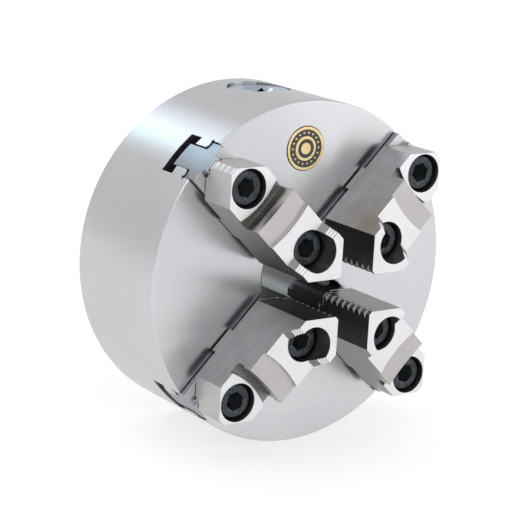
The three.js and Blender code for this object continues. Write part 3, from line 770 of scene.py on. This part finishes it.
def pinion_teeth():
    """The bevel teeth: one gear outline, shrinking towards the point where the two axes cross."""
    base = PITCH_RADIUS * math.cos(PRESSURE_ANGLE)
    radii = [ROOT_RADIUS, base] + [base + (TIP_RADIUS - base) * step / 5 for step in range(1, 6)]
    points = []
    for tooth in range(PINION_TEETH):
        middle = TAU * (tooth / PINION_TEETH + 1 / 4)
        for radius in radii:
            angle = middle - tooth_half_angle(radius)
            points.append((radius * math.cos(angle), radius * math.sin(angle)))
        for radius in reversed(radii):
            angle = middle + tooth_half_angle(radius)
            points.append((radius * math.cos(angle), radius * math.sin(angle)))
    piece = prism("teeth_tool", points, TOOTH_INNER, TOOTH_OUTER)
    for vertex in piece.data.vertices:
        scale = vertex.co.z / TOOTH_OUTER
        vertex.co.x *= scale
        vertex.co.y *= scale
    return piece


def pinion(name, side):
    face, journal, head = PINION_FACE, JOURNAL_RADIUS, PINION_HEAD_RADIUS
    outline = [
        (0, PILOT_END), (PILOT_RADIUS - 0.4, PILOT_END), (PILOT_RADIUS, PILOT_END + 0.4),
        (PILOT_RADIUS, TOOTH_INNER + 0.5), (ROOT_RADIUS * 0.75, TOOTH_INNER + 0.5),
        (ROOT_RADIUS * 0.98, TOOTH_OUTER - 0.2), (ROOT_RADIUS * 0.98, JOURNAL_INNER),
        (journal, JOURNAL_INNER), (journal, STOP_PLACE - STOP_GROOVE_HALF),
        (STOP_GROOVE_RADIUS, STOP_PLACE - STOP_GROOVE_HALF),
        (STOP_GROOVE_RADIUS, STOP_PLACE + STOP_GROOVE_HALF), (journal, STOP_PLACE + STOP_GROOVE_HALF),
        (journal, PINION_HEAD_START), (head, PINION_HEAD_START), (head, face - 0.5), (head - 0.5, face),
        (0, face),
    ]
    piece = turned(f"{name}_finish", outline, 96)
    join(piece, pinion_teeth())
    half = KEY_SQUARE / 2
    socket = box("socket_tool", (-half, half), (-half, half), (face - KEY_DEPTH, face + 1))
    mouth = cone("mouth_tool", half * 1.1, half * 1.1 + 2.4, face - 1.9, face + 0.5, 64)
    cut(piece, socket, mouth)
    finish_mesh(piece, 0.15, 40)

    # Painted shade: the key socket is painted as near-black oxide, though the pinion is plain steel.
    def in_socket(centre, normal):
        beside = max(abs(centre.x), abs(centre.y))
        return int(beside < half + 0.01 and face - KEY_DEPTH - 1 < centre.z < face - 2)

    # The pinion takes the bluish painted-reflection steel.
    paint(piece, (PINION_STEEL_PAINTED_REFLECTION, SOCKET_OXIDE_PAINTED_SHADE), in_socket)
    about_axis(laid_across(piece), side)
    return place(piece, name, [name], "machined_steel")


def pinion_stop(name, side):
    outline = [(0, 0.8), (STOP_RADIUS - 0.3, 0.8), (STOP_RADIUS, 1.1), (STOP_RADIUS, STOP_END - 0.4),
               (STOP_RADIUS - 0.4, STOP_END), (0, STOP_END)]
    piece = turned(f"{name}_finish", outline, 40)
    cut(piece, prism("hex_tool", circle(SMALL_HEX_ACROSS_FLATS / math.sqrt(3), 6), -1, 4))
    finish_mesh(piece, 0.06)
    paint(piece, (OXIDE,), lambda centre, normal: 0)
    moved(piece, Matrix.Translation((STOP_OFFSET, STOP_PLACE, 0)))
    about_axis(piece, side)
    return place(piece, "chuck", [name], "black_oxide_steel")


# ---- Jaws ----

def jaw_plan(half, inner_tip, outer_from, outer_to, outer_half):
    bend = inner_tip + half - TIP_HALF
    lower = [(inner_tip, -TIP_HALF), (bend, -half), (outer_from, -half), (outer_to, -outer_half)]
    return lower + [(x, -y) for x, y in reversed(lower)]


def inward_arc(at, radius, half, steps):
    """Points along the arc through (at, +-half) that bulges towards the chuck axis."""
    centre = at + math.sqrt(radius ** 2 - half ** 2)
    reach = math.asin(half / radius)
    angles = [math.pi - reach + 2 * reach * step / steps for step in range(steps + 1)]
    return [(centre + radius * math.cos(angle), radius * math.sin(angle)) for angle in angles]


SCROLL_PITCH = 8
THREAD_START = 30
TOOTH_THICKNESS = 3.3
TOOTH_OUTER_FLANK = 28
TOOTH_INNER_FLANK = 58
TOOTH_MEAN_RADIUS = 40
TOOTH_COUNT = 6
FIRST_TOOTH_FROM = 17


def jaw_tooth(at):
    lean = SCROLL_PITCH / (TAU * TOOTH_MEAN_RADIUS)
    steps = 20

    def flank(front, radius):
        points = []
        for step in range(steps + 1):
            across = MASTER_HEAD_HALF * (2 * step / steps - 1)
            points.append((front - radius + math.sqrt(radius ** 2 - across ** 2) + lean * across, across))
        return points

    outline = flank(at + TOOTH_THICKNESS / 2, TOOTH_OUTER_FLANK)
    outline += reversed(flank(at - TOOTH_THICKNESS / 2, TOOTH_INNER_FLANK))
    return prism("tooth_tool", outline, SCROLL_FACE + SLIDE_GAP, CHAMBER_FRONT + 0.5)


def first_tooth(degrees):
    """Where a jaw's innermost tooth stands: each jaw meets the spiral a little further on than the last."""
    groove = THREAD_START + SCROLL_PITCH * (degrees / 360 + 0.5)
    return groove - math.floor((groove - FIRST_TOOTH_FROM) / SCROLL_PITCH) * SCROLL_PITCH


def master_jaw(number, degrees):
    wide, narrow, end = MASTER_HEAD_HALF, MASTER_NECK_HALF, MASTER_END + 1
    head_bottom = HEAD_SLOT_FLOOR + SLIDE_GAP
    profile = [(-wide, head_bottom), (-narrow, head_bottom), (-narrow, CHAMBER_FRONT),
               (narrow, CHAMBER_FRONT), (narrow, head_bottom), (wide, head_bottom),
               (wide, MASTER_TOP), (TONGUE_HALF, MASTER_TOP), (TONGUE_HALF, TONGUE_TOP),
               (-TONGUE_HALF, TONGUE_TOP), (-TONGUE_HALF, MASTER_TOP), (-wide, MASTER_TOP)]
    piece = laid_along_jaw(prism(f"master_jaw_{number}_finish", profile, JAW_TIP, end))
    flange_top = FLANGE_SLOT_TOP - SLIDE_GAP
    flange = box("flange_tool", (JAW_TIP, FLANGE_END), (-wide, wide), (CHAMBER_FRONT, flange_top))
    teeth = [jaw_tooth(first_tooth(degrees) + tooth * SCROLL_PITCH) for tooth in range(TOOTH_COUNT)]
    join(piece, flange, *teeth)
    wedge = prism("wedge_tool", jaw_plan(wide, JAW_TIP, end, end + 1, wide), SCROLL_FACE - 1, TONGUE_TOP + 1)
    combine(piece, [wedge], "INTERSECT")
    combine(piece, [rod("rim_tool", MASTER_END, SCROLL_FACE - 2, TONGUE_TOP + 2, 240)], "INTERSECT")
    half = CROSS_HALF + SEAT_GAP
    tools = [box("cross_tool", (CROSS_PLACE - half, CROSS_PLACE + half), (-wide - 1, wide + 1),
                 (BODY_DEPTH, TONGUE_TOP + 1))]
    tools += [rod("tap_tool", TAP_RADIUS, 53, TONGUE_TOP + 1, 40, (at, 0)) for at in SCREW_PLACES]
    cut(piece, *tools)
    finish_mesh(piece, 0.25)

    wall, nose, top = range(3)

    def zone(centre, normal):
        if normal.z > 0.9 and centre.z > BODY_DEPTH:
            return top
        # Faces other than the nose get the dark painted-shade master steel.
        return nose if normal.x < -0.5 and centre.x < JAW_TIP + wide else wall

    paint(piece, (SHADED_MASTERS[number], WEDGES[number], FACE), zone)
    about_axis(piece, degrees)
    return place(piece, f"jaw_{number}", [f"master_jaw_{number}"], "machined_steel")


def along_rod(radius, y, z, x_range, segments=24):
    """A rod lying along a jaw."""
    lay = Matrix.Translation((0, y, z)) @ Matrix.Rotation(math.pi / 2, 4, "Y")
    return moved(rod("relief_tool", radius, *x_range, segments), lay)


def across_notch(x, z, depth):
    """A V-shaped notch across a jaw; depth is signed, and its deepest line is at x."""
    mouth = x - depth * 2
    points = [(x, z), (mouth, z + 1.9), (mouth, z - 1.9)]
    return laid_across_jaw(prism("notch_tool", points, -FAR, FAR))


def serrations(level, x, depth):
    """The notches down a jaw's nose, from a top face at the level to the jaw's underside."""
    count = int((level - TOP_BOTTOM - 1.5) / SERRATION_PITCH)
    return [across_notch(x, level - 1.2 - (tooth + 0.5) * SERRATION_PITCH, depth) for tooth in range(count)]


def slope_tool(far, reach, top):
    """What is cut away beyond the tall step: its outer slope has small saw teeth in its upper half."""
    foot, crest = Vector((SLOPE_FOOT, LEVEL_B)), Vector((SLOPE_CREST, LEVEL_A))
    rise = crest - foot
    inward = Vector((-rise.y, rise.x)).normalized() * SLOPE_TOOTH_DEPTH
    pitch = 0.5 / SLOPE_TEETH
    points = [(far, top), (far, LEVEL_B), tuple(foot)]
    for tooth in range(SLOPE_TEETH):
        start = 0.5 + tooth * pitch
        points.append(tuple(foot + rise * start))
        points.append(tuple(foot + rise * (start + pitch / 2) + inward))
    points += [tuple(crest), (SLOPE_CREST, top)]
    return laid_across_jaw(prism("slope_tool", points[::-1], -reach, reach))


def top_jaw(number, degrees):
    half = TOP_HALF
    reach = half + 1.5
    far = OUTER_TIP + FAR
    top = LEVEL_A + FAR
    plan = jaw_plan(half, JAW_TIP, OUTER_SHOULDER, OUTER_TIP, OUTER_TIP_HALF)
    piece = prism(f"top_jaw_{number}_finish", plan, TOP_BOTTOM, LEVEL_A)
    step_bc = inward_arc(STEP_BC, STEP_BC_RADIUS, reach, 20)
    step_cd = inward_arc(STEP_CD, STEP_CD_RADIUS, reach, 16)
    ledge = inward_arc(LEDGE_D, LEDGE_D_RADIUS, reach, 22)
    outside = [(far, -reach), (far, reach)]
    tongue_side = TONGUE_HALF + SLIDE_GAP
    cut(piece, slope_tool(far, reach, top))
    cut(piece, prism("step_tool", step_bc + outside, LEVEL_C, top))
    cut(piece, prism("step_tool", step_cd + outside, LEVEL_D, top))
    cut(piece,
        prism("groove_tool", step_cd + ledge[::-1], GROOVE_FLOOR, LEVEL_D + 1),
        box("tongue_tool", (0, far), (-tongue_side, tongue_side), (TOP_BOTTOM - 1, TONGUE_TOP + SLIDE_GAP)))
    reliefs = [along_rod(TONGUE_RELIEF_RADIUS, side * tongue_side, TOP_BOTTOM + 0.5, (0, far))
               for side in (-1, 1)]
    cut(piece, *reliefs)
    lower_wall = inward_arc(STEP_CD - 0.6, STEP_CD_RADIUS, reach, 16)
    lower_groove = lower_wall + [(STEP_CD + 2, -reach), (STEP_CD + 2, reach)]
    cut(piece, prism("lower_groove_tool", lower_groove, GROOVE_FLOOR, GROOVE_WALL_TOP))
    tenon = box("tenon_tool", (CROSS_PLACE - CROSS_HALF, CROSS_PLACE + CROSS_HALF), (-half, half),
                (BODY_DEPTH + TENON_GAP, TONGUE_TOP + 2))
    join(piece, tenon)
    tools = []
    for at, head_top in zip(SCREW_PLACES, SCREW_TOPS):
        seat = head_top - HEAD_HEIGHT - SEAT_GAP
        hole = [(0, BODY_DEPTH), (PASS_RADIUS, BODY_DEPTH), (PASS_RADIUS, seat), (COUNTERBORE_RADIUS, seat),
                (COUNTERBORE_RADIUS, top), (0, top)]
        tools.append(moved(turned("hole_tool", hole, 72), Matrix.Translation((at, 0, 0))))
    cut(piece, *tools)
    inner, outer = INNER_SERRATION_DEPTH, OUTER_SERRATION_DEPTH
    notches = serrations(LEVEL_A, JAW_TIP + inner, inner) + serrations(LEVEL_D, OUTER_TIP - outer, -outer)
    cut(piece, *notches)
    finish_mesh(piece, 0.25)

    flat, wall, nose, band, shaded_screw_hole, groove = range(6)

    def zone(centre, normal):
        # The counterbores' walls and deep floors get the painted-shade counterbore steel.
        for at in SCREW_PLACES:
            if math.hypot(centre.x - at, centre.y) < COUNTERBORE_RADIUS + 0.05 and centre.z > TOP_BOTTOM + 1:
                if normal.z < 0.9 or centre.z < GROOVE_FLOOR - 1:
                    return shaded_screw_hole
        # The groove floor, the slope facets, the inner tip faces and the faces beside the groove get the
        # painted-shade groove steel.
        if normal.z > 0.9 and abs(centre.z - GROOVE_FLOOR) < 0.1:
            return groove
        if normal.z > 0.9:
            # The middle step's flat takes the painted-shade band steel.
            return band if abs(centre.z - LEVEL_C) < 0.1 else flat
        # Side and under faces get the painted-shade side steel.
        if abs(normal.y) > 0.9 or normal.z < -0.5:
            return wall
        if normal.x > 0.3 and normal.z > 0.2 and SLOPE_CREST - 1 < centre.x < SLOPE_FOOT:
            return groove
        if centre.x < JAW_TIP + 1.6 and abs(normal.y) < 0.5:
            return groove
        if normal.x < -0.6 and centre.x < JAW_TIP + half:
            # The upward half of the lower right nose is lit in the photograph, so it is painted as a wall.
            return wall if number == 4 and normal.y > 0.3 else nose
        if normal.x > 0.9 and centre.z > GROOVE_WALL_TOP and centre.x > STEP_BC + 2:
            return band
        return groove if STEP_CD - 2 < centre.x < LEDGE_D else band

    materials = (TOPS[number], SHADED_WALLS[number], WEDGES[number], SHADED_BANDS[number], SHADED_COUNTERBORE, SHADED_GROOVES[number])
    paint(piece, materials, zone)
    about_axis(piece, degrees)
    return place(piece, f"jaw_{number}", [f"top_jaw_{number}"], "ground_steel")


def jaw_screw(number, degrees, which):
    at, top = SCREW_PLACES[which], SCREW_TOPS[which]
    name = f"{('inner', 'outer')[which]}_jaw_screw_{number}"
    bottom = top - HEAD_HEIGHT
    outline = [
        (0, SCREW_END), (SHANK_RADIUS - 1, SCREW_END), (SHANK_RADIUS, SCREW_END + 1),
        (SHANK_RADIUS, bottom), (HEAD_RADIUS - 0.2, bottom), (HEAD_RADIUS, bottom + 0.2),
        (HEAD_RADIUS, top - 1.0), (HEAD_RADIUS - 0.3, top - 0.3), (HEAD_RADIUS - 1.0, top), (0, top),
    ]
    piece = turned(f"{name}_finish", outline, 72)
    across = HEX_ACROSS_FLATS / math.sqrt(3)
    cut(piece, prism("hex_tool", circle(across, 6, start=math.pi / 6), top - HEX_DEPTH, top + 1))
    tools = [rod("knurl_tool", 0.28, bottom + 1, top - 1.2, 8, (point[0], point[1]))
             for point in circle(HEAD_RADIUS + 0.1, 36)]
    cut(piece, *tools)
    finish_mesh(piece, None)

    plain, socket, worn_and_lit = range(3)

    def zone(centre, normal):
        radius = math.hypot(centre.x, centre.y)
        # The hex socket is painted near-black as shade.
        if radius < across + 0.1 and top - HEX_DEPTH - 0.1 < centre.z < top - 0.02:
            return socket
        # Top faces toward the front get the lighter oxide: partly wear, partly painted highlight.
        return worn_and_lit if normal.z > 0.3 and centre.z > top - 1.2 else plain

    paint(piece, (OXIDE, SOCKET_OXIDE_PAINTED_SHADE, OXIDE_WORN_AND_LIT), zone)
    moved(piece, Matrix.Translation((at, 0, 0)))
    about_axis(piece, degrees)
    return place(piece, f"jaw_{number}", [name], "black_oxide_steel")


# ---- Badge: a plain round plate with a raised rim, a ring of pips and a raised middle ----

def face_badge():
    low, high, floor = BADGE_BACK, BADGE_FRONT, BADGE_FRONT - 0.25
    outline = [(0, low), (BADGE_RADIUS, low), (BADGE_RADIUS, high - 0.2), (BADGE_RADIUS - 0.2, high),
               (BADGE_RADIUS - 1.1, high), (BADGE_RADIUS - 1.3, floor), (5.6, floor), (5.4, high), (0, high)]
    piece = turned("face_badge_finish", outline, 96)
    pips = [rod("pip_tool", BADGE_PIP_RADIUS, floor - 0.1, high, 16, point)
            for point in circle(BADGE_PIP_CIRCLE, BADGE_PIPS)]
    join(piece, *pips)
    cut(piece, turned("inlay_tool", [(2.6, floor), (4.4, floor), (4.4, high + 1), (2.6, high + 1)], 64))
    finish_mesh(piece, None)
    paint(piece, (BRASS, ENAMEL),
          lambda centre, normal: int(normal.z > 0.9 and abs(centre.z - floor) < 0.02))
    moved(piece, Matrix.Translation((*BADGE_PLACE, 0)))
    return place(piece, "chuck", ["face_badge"], "brass")


# ---- Stage ----

FLOOR_HALF_SIZE = 6.0
FLOOR_GAP = 0.0005
FLOOR_STEPS = 12


def stage():
    size, steps = FLOOR_HALF_SIZE, FLOOR_STEPS
    drop = BODY_LOW.z - FLOOR_GAP
    vertices = [(size * (2 * column / steps - 1), size * (2 * row / steps - 1), drop)
                for row in range(steps + 1) for column in range(steps + 1)]
    faces = [(row * (steps + 1) + column, row * (steps + 1) + column + 1,
              (row + 1) * (steps + 1) + column + 1, (row + 1) * (steps + 1) + column)
             for row in range(steps) for column in range(steps)]
    floor = mesh_object("floor", vertices, faces)
    floor.data.materials.append(pale_floor("pale_floor"))


def area_light(name, direction, distance, size, power, color=(1, 1, 1), spread=math.pi):
    """A rectangular light that looks at the chuck's middle from a direction."""
    data = bpy.data.lights.new(name, "AREA")
    data.shape = "RECTANGLE"
    data.size, data.size_y = size
    data.energy = power
    data.color = color
    data.spread = spread
    light = bpy.data.objects.new(name, data)
    toward = Vector(direction).normalized()
    middle = Vector((0, -BODY_DEPTH * MM / 2, 0))
    light.matrix_world = Matrix.Translation(middle + toward * distance) @ \
        toward.to_track_quat("Z", "Y").to_matrix().to_4x4()
    bpy.context.scene.collection.objects.link(light)


def lights():
    world = bpy.data.worlds.new("world")
    world.use_nodes = True
    background = world.node_tree.nodes["Background"]
    background.inputs["Color"].default_value = (0.93, 0.94, 0.96, 1)
    background.inputs["Strength"].default_value = 0.9
    bpy.context.scene.world = world
    bpy.context.scene.view_settings.view_transform = "Standard"
    area_light("key", (-0.5, -0.75, 0.85), 1.2, (0.9, 0.7), 2.5)
    area_light("fill", (0.9, -0.8, 0.25), 1.4, (0.9, 0.9), 2)
    area_light("streak", (-0.16, 0.8, 0.6), 1.0, (0.012, 0.25), 0.22, (0.40, 0.92, 1.0))
    area_light("streak_glow", (-0.12, 0.8, 0.66), 1.0, (0.3, 0.4), 0.7, (0.72, 0.84, 1.0))


# ---- Assembly ----

chuck_body()
back_cover()
for screw in range(1, COVER_SCREW_COUNT + 1):
    cover_screw(screw)
scroll_plate()
for label, turn in (("top", 0), ("bottom", 180)):
    pinion(f"pinion_{label}", turn)
    pinion_stop(f"pinion_stop_{label}", turn)
for jaw, jaw_angle in enumerate(JAW_ANGLES, 1):
    master_jaw(jaw, jaw_angle)
    top_jaw(jaw, jaw_angle)
    jaw_screw(jaw, jaw_angle, 0)
    jaw_screw(jaw, jaw_angle, 1)
face_badge()
make_camera()
stage()
lights()
